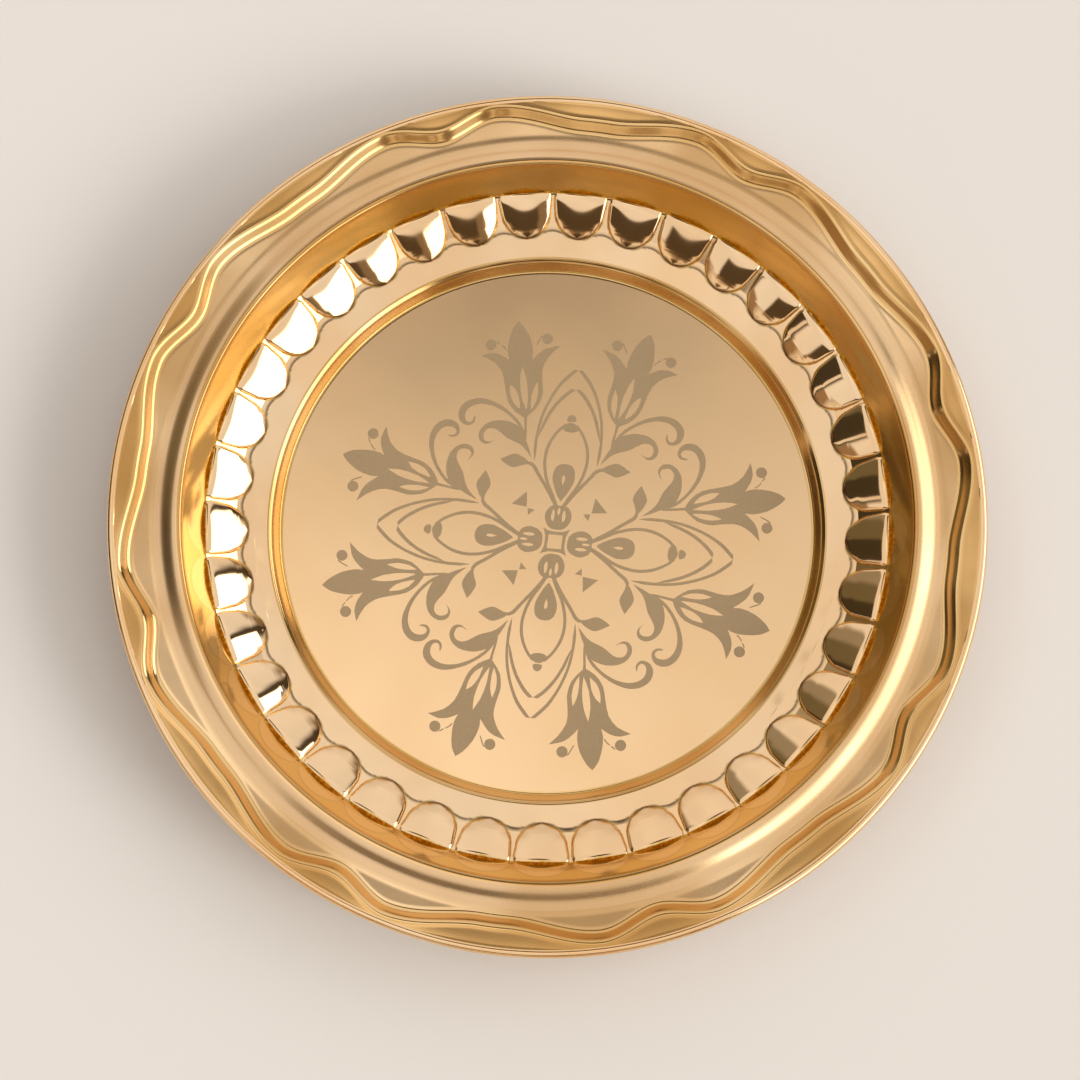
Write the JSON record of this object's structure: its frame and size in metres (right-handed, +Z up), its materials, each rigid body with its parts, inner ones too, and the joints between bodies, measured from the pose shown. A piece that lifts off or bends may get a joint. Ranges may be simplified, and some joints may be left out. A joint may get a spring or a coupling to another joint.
{
  "type": "thali plate",
  "caption": "Round pressed brass thali plate with a fluted wall, a wavy stepped rim, a curled edge and an etched floral rosette on its flat centre",
  "frame": {"origin": "middle of the plate's circle on the plane of its flat underside, which is the surface it rests on", "axes": "+Z up out of the eating side, square to the centre disc; +X to the right and +Y away from the camera in the reference picture"},
  "size_m": [0.28, 0.28, 0.0271],
  "materials": {
    "polished_brass": "polished on the walls, satin on the centre and rim",
    "etched_brass": "matt acid etched",
    "steel_wire": "drawn wire"
  },
  "bodies": {
    "root": {"plate_sheet": "polished_brass", "rim_wire": "steel_wire", "etched_centre_star": "etched_brass", "etched_petals": "etched_brass", "etched_seeds": "etched_brass", "etched_tulip_sprays": "etched_brass", "etched_berries": "etched_brass", "etched_triangles": "etched_brass"}
  },
  "joints": []
}
